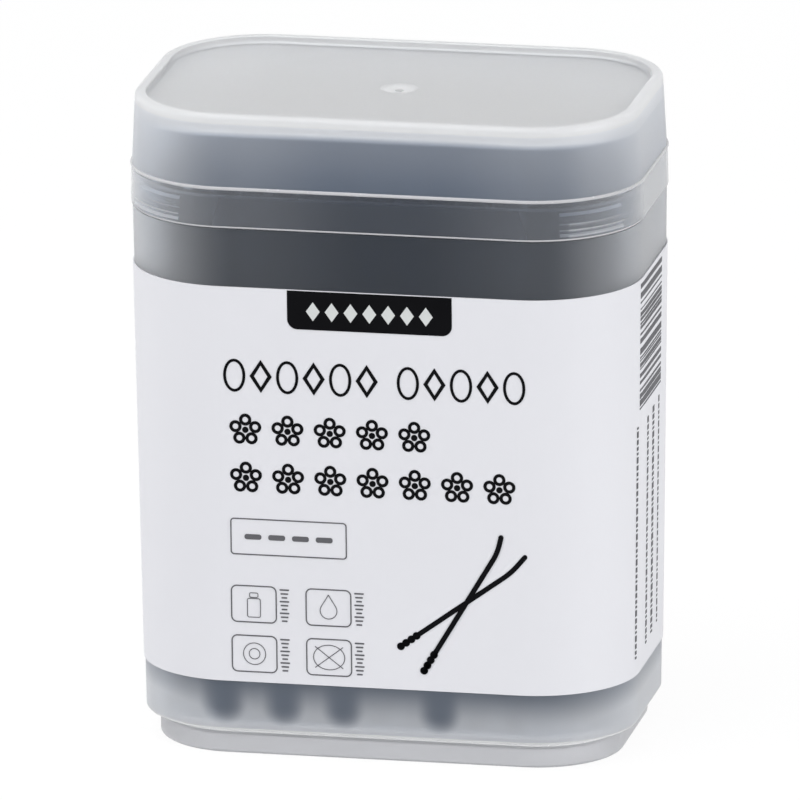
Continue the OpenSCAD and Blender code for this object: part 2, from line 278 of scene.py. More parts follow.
def speckle_group():
    """Soft blotches and fine grain over a surface: a mask for colour, one for gloss and a height."""
    group = bpy.data.node_groups.new("speckle", "ShaderNodeTree")
    socket = group.interface.new_socket
    for name in ("Blotch Size", "Grain Size", "Smooth", "Rough"):
        socket(name, in_out="INPUT", socket_type="NodeSocketFloat")
    for name in ("Dark", "Light"):
        socket(name, in_out="INPUT", socket_type="NodeSocketColor")
    socket("Color", in_out="OUTPUT", socket_type="NodeSocketColor")
    socket("Roughness", in_out="OUTPUT", socket_type="NodeSocketFloat")
    socket("Height", in_out="OUTPUT", socket_type="NodeSocketFloat")
    nodes = group.nodes
    link = group.links.new
    given = nodes.new("NodeGroupInput")
    put = nodes.new("NodeGroupOutput")
    place = nodes.new("ShaderNodeTexCoord")
    blotch = nodes.new("ShaderNodeTexNoise")
    blotch.inputs["Detail"].default_value = BLOTCH_DETAIL
    grain = nodes.new("ShaderNodeTexNoise")
    grain.inputs["Detail"].default_value = GRAIN_DETAIL
    link(place.outputs["Object"], blotch.inputs["Vector"])
    link(place.outputs["Object"], grain.inputs["Vector"])
    link(given.outputs["Blotch Size"], blotch.inputs["Scale"])
    link(given.outputs["Grain Size"], grain.inputs["Scale"])
    colour = nodes.new("ShaderNodeMix")
    colour.data_type = "RGBA"
    link(blotch.outputs["Fac"], colour.inputs["Factor"])
    link(given.outputs["Dark"], colour.inputs["A"])
    link(given.outputs["Light"], colour.inputs["B"])
    gloss = nodes.new("ShaderNodeMapRange")
    link(grain.outputs["Fac"], gloss.inputs["Value"])
    link(given.outputs["Smooth"], gloss.inputs["To Min"])
    link(given.outputs["Rough"], gloss.inputs["To Max"])
    link(colour.outputs["Result"], put.inputs["Color"])
    link(gloss.outputs["Result"], put.inputs["Roughness"])
    link(grain.outputs["Fac"], put.inputs["Height"])
    return group


def speckled(nodes, links, shader, group, blotch, grain, dark, light, finish, relief):
    """Places the speckle group in a material, with its own values, and feeds the shader."""
    smooth, rough = finish
    speckle = nodes.new("ShaderNodeGroup")
    speckle.node_tree = group
    speckle.inputs["Blotch Size"].default_value = blotch
    speckle.inputs["Grain Size"].default_value = grain
    speckle.inputs["Dark"].default_value = tint(dark)
    speckle.inputs["Light"].default_value = tint(light)
    speckle.inputs["Smooth"].default_value = smooth
    speckle.inputs["Rough"].default_value = rough
    links.new(speckle.outputs["Color"], shader.inputs["Base Color"])
    links.new(speckle.outputs["Roughness"], shader.inputs["Roughness"])
    bump = nodes.new("ShaderNodeBump")
    bump.inputs["Distance"].default_value = MM
    bump.inputs["Strength"].default_value = relief
    links.new(speckle.outputs["Height"], bump.inputs["Height"])
    links.new(bump.outputs["Normal"], shader.inputs["Normal"])


def frosted_plastic(group, name, milk, finish, shade=None, gloss=0.4):
    """Milky polypropylene with a fine satin face. The more light it scatters, the more neutral its white."""
    neutral = min(1, milk / NEUTRAL_MILK)
    shade = shade or [cool + (white - cool) * neutral for cool, white in zip(CLEAR_PLASTIC, WHITE_PLASTIC)]
    material, nodes, links, shader = new_material(name)
    shader.inputs["IOR"].default_value = PLASTIC_IOR
    shader.inputs["Specular IOR Level"].default_value = gloss
    shader.inputs["Transmission Weight"].default_value = 1 - milk
    shader.inputs["Sheen Weight"].default_value = PLASTIC_SHEEN
    shader.inputs["Sheen Roughness"].default_value = PLASTIC_SHEEN_ROUGH
    dark = [PLASTIC_DARKER * part for part in shade]
    speckled(nodes, links, shader, group, PLASTIC_BLOTCH, PLASTIC_GRAIN, dark, shade, finish, PLASTIC_RELIEF)
    return material


def soft_step(nodes, value, link):
    """A soft step of a value; its start, end and two levels are left to set."""
    step = nodes.new("ShaderNodeMapRange")
    step.interpolation_type = "SMOOTHSTEP"
    link(value, step.inputs["Value"])
    return step


def painted_light_group():
    """How much light is painted on a surface: the sum of soft steps of height and of distance from the
    middle.
    """
    group = bpy.data.node_groups.new("painted_light", "ShaderNodeTree")
    socket = group.interface.new_socket
    for step in PAINTED_LIGHT_STEPS:
        for bound in STEP_BOUNDS:
            socket(f"{step} {bound}", in_out="INPUT", socket_type="NodeSocketFloat")
    socket("Centre", in_out="INPUT", socket_type="NodeSocketFloat")
    socket("Painted Light", in_out="OUTPUT", socket_type="NodeSocketFloat")
    nodes = group.nodes
    link = group.links.new
    given = nodes.new("NodeGroupInput")
    put = nodes.new("NodeGroupOutput")
    place = nodes.new("ShaderNodeTexCoord")
    parts = nodes.new("ShaderNodeSeparateXYZ")
    link(place.outputs["Object"], parts.inputs[0])
    shifted = nodes.new("ShaderNodeMath")
    shifted.operation = "SUBTRACT"
    link(parts.outputs["X"], shifted.inputs[0])
    link(given.outputs["Centre"], shifted.inputs[1])
    aside = nodes.new("ShaderNodeMath")
    aside.operation = "ABSOLUTE"
    link(shifted.outputs[0], aside.inputs[0])
    painted_light = None
    for step in PAINTED_LIGHT_STEPS:
        value = aside.outputs[0] if step in ACROSS_STEPS else parts.outputs["Z"]
        share = soft_step(nodes, value, link)
        for bound, target in zip(STEP_BOUNDS, ("From Min", "From Max", "To Min", "To Max")):
            link(given.outputs[f"{step} {bound}"], share.inputs[target])
        result = share.outputs["Result"]
        if painted_light:
            total = nodes.new("ShaderNodeMath")
            total.operation = "ADD"
            total.use_clamp = True
            link(painted_light, total.inputs[0])
            link(result, total.inputs[1])
            result = total.outputs[0]
        painted_light = result
    link(painted_light, put.inputs["Painted Light"])
    return group


def head_distance(nodes, links, position, heads):
    """Distance to the nearest cotton head: to its axis where it is full, and to that place from below."""
    nearest = None
    for head in heads:
        apart = nodes.new("ShaderNodeVectorMath")
        apart.operation = "SUBTRACT"
        apart.inputs[1].default_value = head
        links.new(position, apart.inputs[0])
        below = nodes.new("ShaderNodeVectorMath")
        below.operation = "MINIMUM"
        below.inputs[1].default_value = POST_ABOVE
        links.new(apart.outputs[0], below.inputs[0])
        length = nodes.new("ShaderNodeVectorMath")
        length.operation = "LENGTH"
        links.new(below.outputs[0], length.inputs[0])
        reach = length.outputs["Value"]
        if nearest:
            least = nodes.new("ShaderNodeMath")
            least.operation = "MINIMUM"
            links.new(nearest, least.inputs[0])
            links.new(reach, least.inputs[1])
            reach = least.outputs[0]
        nearest = reach
    return nearest


def painted_light_plastic(group, painted_light, name, milk, dark, steps, finish, heads=()):
    """Frosted plastic with painted light and shade over the piece, and a painted shade where cotton heads
    stand behind it.
    """
    material = frosted_plastic(group, name, milk, finish, shade=COOL_PLASTIC)
    nodes = material.node_tree.nodes
    links = material.node_tree.links
    shader = nodes["Principled BSDF"]
    share = nodes.new("ShaderNodeGroup")
    share.node_tree = painted_light
    share.inputs["Centre"].default_value = SHADE_CENTRE * MM
    for step in PAINTED_LIGHT_STEPS:
        start, end, low, high = steps.get(step, NO_STEP)
        for bound, value in zip(STEP_BOUNDS, (start * MM, end * MM, low, high)):
            share.inputs[f"{step} {bound}"].default_value = value
    painted_share = share.outputs["Painted Light"]
    # Painted shade of the cotton heads that stand behind the wall: the painted light fades out near them.
    if heads:
        place = nodes.new("ShaderNodeTexCoord")
        distance = head_distance(nodes, links, place.outputs["Object"], heads)
        clear = soft_step(nodes, distance, links.new)
        clear.inputs["From Min"].default_value = HEAD_SHADE_NEAR * MM
        clear.inputs["From Max"].default_value = HEAD_SHADE_FAR * MM
        head_shaded = nodes.new("ShaderNodeMath")
        head_shaded.operation = "MULTIPLY"
        links.new(painted_share, head_shaded.inputs[0])
        links.new(clear.outputs["Result"], head_shaded.inputs[1])
        painted_share = head_shaded.outputs[0]
    # The base colour runs from the painted shade to the painted light.
    colour = nodes.new("ShaderNodeMix")
    colour.data_type = "RGBA"
    colour.inputs["A"].default_value = tint(dark)
    links.new(painted_share, colour.inputs["Factor"])
    blotches = shader.inputs["Base Color"].links[0].from_socket
    links.new(blotches, colour.inputs["B"])
    links.new(colour.outputs["Result"], shader.inputs["Base Color"])
    return material


def paint_bead_glints(material):
    """Adds painted glints to the skirt: lines of light from the snap beads that stand close behind it."""
    nodes = material.node_tree.nodes
    links = material.node_tree.links
    place = nodes.new("ShaderNodeTexCoord")
    parts = nodes.new("ShaderNodeSeparateXYZ")
    links.new(place.outputs["Object"], parts.inputs[0])
    aside = nodes.new("ShaderNodeMath")
    aside.operation = "ABSOLUTE"
    links.new(parts.outputs["X"], aside.inputs[0])
    above = nodes.new("ShaderNodeMath")
    above.operation = "SUBTRACT"
    above.inputs[1].default_value = (LID_LOW + BEAD_GLINT_LOW) * MM
    links.new(parts.outputs["Z"], above.inputs[0])
    between = nodes.new("ShaderNodeMath")
    between.operation = "PINGPONG"
    between.inputs[1].default_value = BEAD_GLINT_PITCH / 2 * MM
    links.new(above.outputs[0], between.inputs[0])
    top = BEAD_GLINT_PITCH * (BEAD_GLINTS - 1) + BEAD_GLINT_HALF
    limits = (
        (between, BEAD_GLINT_HALF * (1 + BEAD_GLINT_BLUR), BEAD_GLINT_HALF * (1 - BEAD_GLINT_BLUR)),
        (above, top + BEAD_GLINT_SOFT, top),
        (above, -BEAD_GLINT_HALF - BEAD_GLINT_SOFT, -BEAD_GLINT_HALF),
        (aside, BEAD_GLINT_START - BEAD_GLINT_SOFT, BEAD_GLINT_START),
        (aside, BEAD_GLINT_END + BEAD_GLINT_SOFT, BEAD_GLINT_END),
    )
    mask = nodes["Mix"].inputs["Factor"].links[0].from_socket
    glints = None
    for node, start, end in limits:
        step = soft_step(nodes, node.outputs[0], links.new)
        step.inputs["From Min"].default_value = start * MM
        step.inputs["From Max"].default_value = end * MM
        result = step.outputs["Result"]
        if glints:
            both = nodes.new("ShaderNodeMath")
            both.operation = "MULTIPLY"
            links.new(glints, both.inputs[0])
            links.new(result, both.inputs[1])
            result = both.outputs[0]
        glints = result
    brighter = nodes.new("ShaderNodeMath")
    brighter.operation = "MAXIMUM"
    links.new(mask, brighter.inputs[0])
    links.new(glints, brighter.inputs[1])
    links.new(brighter.outputs[0], nodes["Mix"].inputs["Factor"])


def heads_by_the_wall():
    """Places, in metres, where the heads that stand behind the wide flat walls reach their full width."""
    places = []
    for node in (FRONT_ROW, BACK_ROW):
        work = bmesh.new()
        work.from_mesh(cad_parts[node].data)
        bmesh.ops.remove_doubles(work, verts=work.verts, dist=WELD)
        todo = set(work.verts)
        while todo:
            head = [todo.pop()]
            for vert in head:
                for other in (edge.other_vert(vert) for edge in vert.link_edges):
                    if other in todo:
                        todo.remove(other)
                        head.append(other)
            low = min(vert.co.z for vert in head)
            if low < HEAD_FLOOR * MM:
                middle = sum((vert.co for vert in head), Vector()) / len(head)
                places.append((middle.x, middle.y, low + HEAD_FULL * MM))
        work.free()
    return sorted(places)


def matt(group, name, blotch, grain, dark, light, finish, relief, gloss=0.5, sheen=0, sheen_rough=0.5):
    """Paper, cotton or ink."""
    material, nodes, links, shader = new_material(name)
    shader.inputs["Specular IOR Level"].default_value = gloss
    shader.inputs["Sheen Weight"].default_value = sheen
    shader.inputs["Sheen Roughness"].default_value = sheen_rough
    speckled(nodes, links, shader, group, blotch, grain, dark, light, finish, relief)
    return material


def smooth_faces(mesh):
    """Smooth shading that keeps the edges of the mouldings sharp."""
    mesh.shade_smooth()
    mesh.set_sharp_from_angle(angle=math.radians(SHARP_ANGLE))


def dress(node, material):
    """Gives a CAD node its material and smooth shading."""
    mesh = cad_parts[node].data
    mesh.materials.clear()
    mesh.materials.append(material)
    smooth_faces(mesh)


# Where the plastic changes from zone to zone, in millimetres: most zones differ in painted light and shade. A
# reach is a distance from the rectangle that joins the centres of the corners.
FOOT_TOP_Z = 2.9
WALL_END_Z = 3.6
LEDGE_TOP_Z = 3.95
FLOOR_Z = 4.3
BASE_Z = 10.6
BODY_CUTS = (FOOT_TOP_Z, LEDGE_TOP_Z, BASE_Z)
FLOOR_REACH = CORNER_R - 1.6
WALL_REACH = CORNER_R - 1.3
NECK_OUTER = 12.7
NECK_LOW_Z = SHOULDER_Z + 0.5
NECK_TOP = 74.6
NECK_EDGE = 0.3
SKIRT_INNER = 13.2
SKIRT_EDGE = 0.31
SKIRT_EDGE_REACH = CORNER_R - 0.5
RIDGE_Z = 76.05
RIDGE_H = 0.45
RIDGE_REACH = CORNER_R - 0.3
BEAD_BELOW_RIDGE = 2
RIM_Z = 84.15
RIM_INNER = 11.95
RIM_T = 1
RIM_TOP_T = 0.25
PANEL_Z = 84.3
PANEL_T = 1
LID_CUTS = (RIM_Z,)
GATE_R = 2.2
GATE_NUB_R = 0.6

# How near a face has to be to count as on a surface, and how far it may tilt to look along the wall
NEAR = 0.02
NEAR_STEP = 0.05
NEAR_BEAD = 0.06
END_TILT = 0.2
LEVEL_TILT = 0.3

# Edges sharper than this angle stay sharp. Points nearer than these distances, in metres, are one.
SHARP_ANGLE = 32
CUT_NEAR = 1e-7
WELD = 1e-6

# What a moulded piece rides on
BODY_OF = {"body_shell": "box", "lid": "lid"}

# Where the painted shade of a cotton head behind the wall gives way to the painted light, as distances from
# its axis, and how high over its tip it is full. Heads with their tips under HEAD_FLOOR stand at the bottom.
# POST_ABOVE is a cap
# on an offset: it takes out height over the full place.
HEAD_SHADE_NEAR = 3.9
HEAD_SHADE_FAR = 5.1
HEAD_FULL = 3.4
HEAD_FLOOR = 10
POST_ABOVE = (1, 1, 0)
FRONT_ROW = "cotton_row_1"
BACK_ROW = "cotton_row_7"


def corner_reach(point):
    """How far out a point lies from the rectangle of the corners' centres, in millimetres."""
    return math.hypot(max(0, abs(point.x) / MM - CENTRE_X), max(0, abs(point.y) / MM - CENTRE_Y))


def zoned(node, name, cuts, plastics, zone_of):
    """Stands for a moulded CAD node: the same shape, cut at some heights, each face with its plastic."""
    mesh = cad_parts[node].data.copy()
    mesh.materials.clear()
    names = list(plastics)
    for material in plastics.values():
        mesh.materials.append(material)
    work = bmesh.new()
    work.from_mesh(mesh)
    for z in cuts:
        everything = work.verts[:] + work.edges[:] + work.faces[:]
        level = (0, 0, z * MM)
        bmesh.ops.bisect_plane(work, geom=everything, dist=CUT_NEAR, plane_co=level, plane_no=(0, 0, 1))
    for face in work.faces:
        middle = face.calc_center_median()
        face.material_index = names.index(zone_of(middle, middle.z / MM, corner_reach(middle), face.normal))
    work.to_mesh(mesh)
    work.free()
    smooth_faces(mesh)
    piece = bpy.data.objects.new(name, mesh)
    bpy.context.scene.collection.objects.link(piece)
    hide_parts(node)
    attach(piece, BODY_OF[node])
    return piece


def is_bead_end(point, normal):
    """Whether a face closes the end of a snap bead: it looks along the wall, neither out nor up."""
    across = max(0, abs(point.x) / MM - CENTRE_X)
    along = max(0, abs(point.y) / MM - CENTRE_Y)
    outwards = abs(normal.x) * across + abs(normal.y) * along
    return outwards < END_TILT * math.hypot(across, along) and abs(normal.z) < END_TILT


def is_level(normal):
    """Whether a face looks up or down enough to close a snap bead above or below."""
    return abs(normal.z) > LEVEL_TILT


def body_zone(point, z, reach, normal):
    """Which plastic a face of the body shows."""
    if z > NECK_TOP - NECK_EDGE:
        # A painted highlight along the top of the neck.
        return "neck_edge"
    if z > NECK_LOW_Z:
        bead = reach > NECK_OUTER + NEAR
        # Level faces and ends of the snap beads get a painted highlight.
        if bead and (is_level(normal) or is_bead_end(point, normal)):
            return "bright_edge"
        return "crisp_bead" if bead else "crisp_wall"
    if z < FOOT_TOP_Z:
        # Painted shade on the foot.
        return "frosted_foot"
    if z < LEDGE_TOP_Z:
        # A painted highlight under the step and painted light on its top.
        return "bright_edge" if z < WALL_END_Z - NEAR_STEP else "lid_rim"
    if z < FLOOR_Z and reach < FLOOR_REACH:
        return "frosted_floor"
    if reach < WALL_REACH:
        return "frosted_wall"
    # The outside of the wall gets painted light and shade.
    return "hazy_base" if z < BASE_Z else "hazy_wall"


def skirt_zone(point, z, reach, normal):
    """Which plastic a face of the lid shows below its ridge."""
    bead = z < RIDGE_Z - BEAD_BELOW_RIDGE / 2
    # Level faces and ends of the snap beads get a painted highlight.
    if bead and (is_level(normal) or is_bead_end(point, normal)):
        return "bright_edge"
    if z < RIDGE_Z - BEAD_BELOW_RIDGE and reach < SKIRT_INNER - NEAR_BEAD:
        return "crisp_bead"
    # The outside of the skirt gets painted light and shade, and its inside gets painted shade.
    return "hazy_skirt" if reach > CORNER_R else "crisp_wall"


def lid_zone(point, z, reach, normal):
    """Which plastic a face of the lid shows."""
    # The ridge and the lid's lower edge get a dimmer painted highlight.
    if RIDGE_Z - RIDGE_H < z < RIDGE_Z + NEAR and reach > RIDGE_REACH:
        return "pale_line"
    if z < LID_LOW + SKIRT_EDGE and reach > SKIRT_EDGE_REACH:
        return "pale_line"
    if z < RIDGE_Z:
        return skirt_zone(point, z, reach, normal)
    # The gate mark gets a painted highlight.
    if GATE_NUB_R < math.hypot(point.x, point.y) / MM < GATE_R and z > PANEL_Z - PANEL_T:
        return "gate_mark"
    if reach < RIM_INNER:
        return "lid_panel"
    # The rim is lighter: partly the whiteness of its thicker plastic, partly painted light.
    if z > LID_TOP - RIM_TOP_T:
        return "rim_top"
    if z > RIM_Z:
        return "lid_rim"
    # The outside of the lid wall gets painted light and shade.
    return "lid_wall" if reach > RIM_INNER + RIM_T else "frosted_wall"


# Label print

def label_point(u, z, lift):
    """The point at u and z on the label, standing lift proud of its face, in metres."""
    radius = CORNER_R - DRAFT * (SHOULDER_Z - z) + LABEL_FACE + lift
    turn = (abs(u) - CENTRE_X) / CORNER_R
    if turn <= 0:
        x = abs(u)
        y = -CENTRE_Y - radius
    elif turn <= math.pi / 2:
        x = CENTRE_X + radius * math.sin(turn)
        y = -CENTRE_Y - radius * math.cos(turn)
    else:
        x = CENTRE_X + radius
        y = -CENTRE_Y + (turn - math.pi / 2) * CORNER_R
    return Vector((math.copysign(x, u), y, z)) * MM


def arc(u, z, r, start, end, steps=ARC_STEPS):
    """Points of an arc round (u, z), angles in degrees."""
    turns = [math.radians(start + (end - start) * k / steps) for k in range(steps + 1)]
    return [(u + r * math.cos(t), z + r * math.sin(t)) for t in turns]


def rounded(u, z, w, h, r):
    """Outline of a rounded rectangle with its centre at (u, z)."""
    a = w / 2 - r
    b = h / 2 - r
    return (arc(u + a, z + b, r, 0, 90) + arc(u - a, z + b, r, 90, 180)
            + arc(u - a, z - b, r, 180, 270) + arc(u + a, z - b, r, 270, 360))


def filled(outline):
    """A flat shape as (points, cells): a fan round its middle."""
    n = len(outline)
    middle = (sum(p[0] for p in outline) / n, sum(p[1] for p in outline) / n)
    return [outline + [middle], [(k, (k + 1) % n, n) for k in range(n)]]


def hollow(outer, inner):
    """A flat ring as (points, cells), between two outlines with as many points."""
    n = len(outer)
    cells = [(k, (k + 1) % n, n + (k + 1) % n, n + k) for k in range(n)]
    return [outer + inner, cells]


def line_frame(u, z, w, h, r, line):
    """A rounded rectangle in a thin line."""
    return hollow(rounded(u, z, w, h, r), rounded(u, z, w - 2 * line, h - 2 * line, r - line))


def stroke(path, width):
    """A line of even width with round ends along a path of points."""
    half = width / 2
    left = []
    right = []
    for k, (u, z) in enumerate(path):
        before = path[max(k - 1, 0)]
        after = path[min(k + 1, len(path) - 1)]
        slope = math.atan2(after[1] - before[1], after[0] - before[0])
        if k == 0:
            first = math.degrees(slope)
        last = math.degrees(slope)
        left.append((u - half * math.sin(slope), z + half * math.cos(slope)))
        right.append((u + half * math.sin(slope), z - half * math.cos(slope)))
    n = len(path)
    shapes = [[left + right, [(n + k, n + k + 1, k + 1, k) for k in range(n - 1)]]]
    head = arc(path[0][0], path[0][1], half, first + 90, first + 270)
    tail = arc(path[-1][0], path[-1][1], half, last - 90, last + 90)
    shapes.append(filled(head))
    shapes.append(filled(tail))
    return shapes


def ring(u, z, w, h, line):
    """An oval outline."""
    def oval(a, b):
        turns = [2 * math.pi * k / OVAL_STEPS for k in range(OVAL_STEPS)]
        return [(u + a * math.cos(t), z + b * math.sin(t)) for t in turns]
    return hollow(oval(w / 2, h / 2), oval(w / 2 - line, h / 2 - line))


def disc(u, z, r):
    """A round dot."""
    return filled(arc(u, z, r, 0, 360 - 360 / DISC_STEPS, DISC_STEPS - 1))


def lozenge(u, z, w, h, line):
    """A diamond outline. Its line slants, so it measures more along the level and the upright."""
    def diamond(a, b):
        return [(u + a, z), (u, z + b), (u - a, z), (u, z - b)]
    return hollow(diamond(w / 2, h / 2), diamond(w / 2 - line * SLANT_LEVEL, h / 2 - line * SLANT_UPRIGHT))


def print_on_label(name, shapes, material, level=0):
    """One piece of print: each flat shape becomes a thin closed solid that follows the label."""
    low = INK_LIFT + level * (INK_LIFT + INK_T)
    verts = []
    faces = []
    for points, cells in shapes:
        base = len(verts)
        n = len(points)
        verts += [label_point(u, z, low) for u, z in points]
        verts += [label_point(u, z, low + INK_T) for u, z in points]
        edges = set()
        for cell in cells:
            faces.append([base + n + k for k in cell])
            faces.append([base + k for k in reversed(cell)])
            edges.update(zip(cell, cell[1:] + cell[:1]))
        for a, b in sorted(edges):
            if (b, a) not in edges:
                faces.append([base + a, base + b, base + n + b, base + n + a])
    mesh = bpy.data.meshes.new(name)
    mesh.from_pydata(verts, [], faces)
    mesh.materials.append(material)
    piece = bpy.data.objects.new(name, mesh)
    bpy.context.scene.collection.objects.link(piece)
    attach(piece, "box")
    return piece


# Tab that hangs from the label's upper edge
TAB_U = 0.3
TAB_W = 21.4
TAB_DROP = 5.2
TAB_R = 1.3
TAB_GAP = 0.1
TAB_MARKS = 7
TAB_MARKS_SPAN = 0.8
TAB_MARKS_DROP = 0.53
TAB_MARK_HALF_W = 0.9
TAB_MARK_HALF_H = 1.25


def tab_shape():
    """A dark tab with its lower corners rounded."""
    top = LABEL_TOP - TAB_GAP
    low = LABEL_TOP - TAB_DROP
    half = TAB_W / 2
    outline = ([(TAB_U + half, top), (TAB_U - half, top)]
               + arc(TAB_U - half + TAB_R, low + TAB_R, TAB_R, 180, 270)
               + arc(TAB_U + half - TAB_R, low + TAB_R, TAB_R, 270, 360))
    return [filled(outline)]


def tab_marks():
    """A plain row of light diamonds."""
    a = TAB_MARK_HALF_W
    b = TAB_MARK_HALF_H
    pitch = TAB_W * TAB_MARKS_SPAN / TAB_MARKS
    z = LABEL_TOP - TAB_DROP * TAB_MARKS_DROP
    shapes = []
    for k in range(TAB_MARKS):
        u = TAB_U + (k - (TAB_MARKS - 1) / 2) * pitch
        shapes.append(filled([(u + a, z), (u, z + b), (u - a, z), (u, z - b)]))
    return shapes


# Rows of plain ornament on the front
ROW_LEFT = -18.2
HEADING_Z = 51.2
HEADING_W = 2.9
HEADING_H = 4.4
HEADING_LINE = 0.38
HEADING_INDENT = 0.8
HEADING_MARKS = 11
HEADING_SPLIT = 6
HEADING_PITCH = 3.45
HEADING_GAP = 1.9
ROSETTE_ROWS = ((44.0, 5), (37.6, 7))
ROSETTE_PITCH = 5.5
ROSETTE_SIZE = 4.3
ROSETTE_LINE = 0.42
ROSETTE_DOT_R = 0.42
PETALS = 5
PETAL_REACH = 1.35
PETAL_SIZE = 1.6


def heading():
    """Ovals and diamonds in two groups, in a thin line."""
    shapes = []
    u = ROW_LEFT + HEADING_INDENT
    for k in range(HEADING_MARKS):
        if k == HEADING_SPLIT:
            u += HEADING_GAP
        mark = lozenge if k % 2 else ring
        shapes.append(mark(u, HEADING_Z, HEADING_W, HEADING_H, HEADING_LINE))
        u += HEADING_PITCH
    return shapes


def rosette(u, z):
    """A ring with petals round a dot."""
    shapes = [disc(u, z, ROSETTE_DOT_R)]
    for k in range(PETALS):
        turn = math.radians(90 + 360 / PETALS * k)
        across = u + PETAL_REACH * math.cos(turn)
        up = z + PETAL_REACH * math.sin(turn)
        shapes.append(ring(across, up, PETAL_SIZE, PETAL_SIZE, ROSETTE_LINE))
    return shapes


def ornament_rows():
    """The heading and the rows of rosettes under it."""
    shapes = heading()
    for z, count in ROSETTE_ROWS:
        for k in range(count):
            shapes += rosette(ROW_LEFT + ROSETTE_SIZE / 2 + k * ROSETTE_PITCH, z)
    return shapes


# Long frame with dashes. Small frames with plain signs, and strips of ticks beside them.
LONG_FRAME = (-10.6, 29.75, 15.2, 4.9, 0.5)
DASHES = 4
DASH_PITCH = 3.1
DASH_SHAPE = (2.2, 0.7, 0.3)
SIGN_LEFT = -15.25
SIGN_PITCH = 9.75
SIGN_Z = (20.75, 14.1)
SIGN_SHAPE = (6.0, 5.0, 0.8)
FRAME_LINE = 0.16
SIGN_LINE = 0.1
STRIP_U = 4.0
STRIP_TICKS = 9
STRIP_PITCH = 0.52
STRIP_TICK_W = (0.75, 1.0, 1.25)
STRIP_TICK_H = 0.2
STRIP_TICK_R = 0.08


def signs():
    """A long frame with dashes and four small ones, each with a strip of ticks beside it."""
    u, z = LONG_FRAME[:2]
    shapes = [line_frame(*LONG_FRAME, FRAME_LINE)]
    for k in range(DASHES):
        shapes.append(filled(rounded(u + (k - (DASHES - 1) / 2) * DASH_PITCH, z, *DASH_SHAPE)))
    for row, z in enumerate(SIGN_Z):
        for column in range(2):
            u = SIGN_LEFT + column * SIGN_PITCH
            shapes.append(line_frame(u, z, *SIGN_SHAPE, FRAME_LINE))
            shapes += sign(2 * row + column, u, z)
            for k in range(STRIP_TICKS):
                up = z + (k - STRIP_TICKS // 2) * STRIP_PITCH
                width = STRIP_TICK_W[k % len(STRIP_TICK_W)]
                shapes.append(filled(rounded(u + STRIP_U, up, width, STRIP_TICK_H, STRIP_TICK_R)))
    return shapes


def sign(kind, u, z):
    """Jar, drop, ring and crossed lines, each drawn in a fine line round the middle of its frame."""
    fine = SIGN_LINE
    if kind == 0:
        jar = line_frame(u, z - 0.5, 1.8, 2.6, 0.3, fine)
        cap = line_frame(u, z + 1.2, 1.2, 0.7, 0.25, fine)
        return [jar, cap]
    if kind == 1:
        tip = (u, z + 1.7)
        drop = arc(u, z - 0.4, 1.1, -210, 30, 16)
        return stroke([tip] + drop[::-1] + [tip], fine)
    if kind == 2:
        return [ring(u, z, 3, 3, fine), ring(u, z, 1.5, 1.5, fine)]
    rising = stroke([(u - 1.8, z - 1.4), (u + 1.8, z + 1.4)], fine)
    falling = stroke([(u - 1.8, z + 1.4), (u + 1.8, z - 1.4)], fine)
    return rising + falling + [ring(u, z, 4.2, 3.4, fine)]


# Two crossed swabs on the front: foot, knee and tip of each
SWAB_LOW = ((3.9, 16.1), (18.3, 26.6), (20.2, 28.8))
SWAB_HIGH = ((6.9, 13.0), (16.6, 29.2), (17.1, 31.3))
SWAB_LINE = 0.66
SWAB_LOBES = 4
SWAB_LOBE_R = 0.52
SWAB_LOBE_PITCH = 0.85
BEND_REACH = 1.2
BEND_STEPS = 6


def swab_figure(foot, knee, tip):
    """A straight stick with a bent end and a lobed head."""
    lean = math.atan2(knee[1] - foot[1], knee[0] - foot[0])
    away = math.atan2(tip[1] - knee[1], tip[0] - knee[0])
    path = [foot]
    start = (knee[0] - BEND_REACH * math.cos(lean), knee[1] - BEND_REACH * math.sin(lean))
    end = (knee[0] + BEND_REACH * math.cos(away), knee[1] + BEND_REACH * math.sin(away))
    for k in range(BEND_STEPS + 1):
        t = k / BEND_STEPS
        first = (1 - t) ** 2
        second = 2 * t * (1 - t)
        third = t * t
        path.append(tuple(first * start[i] + second * knee[i] + third * end[i] for i in (0, 1)))
    path.append(tip)
    shapes = stroke(path, SWAB_LINE)
    for k in range(SWAB_LOBES):
        along = k * SWAB_LOBE_PITCH
        shapes.append(disc(foot[0] + along * math.cos(lean), foot[1] + along * math.sin(lean), SWAB_LOBE_R))
    return shapes


# Stripes and columns of ticks on the right side
STRIPE_U = (39.6, 53.2)
STRIPE_Z = (45.6, 62.2)
STRIPE_CYCLE = (0.22, 0.55, 0.3, 0.8, 0.18, 0.42, 0.65)
STRIPE_GAP = 0.8
STRIPE_STEPS = 4
COLUMN_U = (38.9, 45.0, 48.6, 52.2)
COLUMN_Z = (12.6, 43.6)
COLUMN_STAGGER = 0.4
TICK_LENGTH = 0.3
TICK_WIDTH = 0.6
TICK_SPREAD = 0.5
TICK_LENGTHS = 4
TICK_WIDTHS = 3
TICK_GAP = 0.3


def side_stripes():
    """Level stripes of uneven thickness."""
    left, right = STRIPE_U
    count = len(STRIPE_CYCLE)
    shapes = []
    z = STRIPE_Z[0]
    k = 0
    while z < STRIPE_Z[1]:
        thick = STRIPE_CYCLE[(3 * k + k // count) % count]
        gap = STRIPE_CYCLE[(5 * k + 2) % count] * STRIPE_GAP
        low = [(left + (right - left) * i / STRIPE_STEPS, z) for i in range(STRIPE_STEPS + 1)]
        high = [(u, z + thick) for u, _ in low]
        cells = [(i, i + 1, STRIPE_STEPS + 2 + i, STRIPE_STEPS + 1 + i) for i in range(STRIPE_STEPS)]
        shapes.append([low + high, cells])
        z += thick + gap
        k += 1
    return shapes


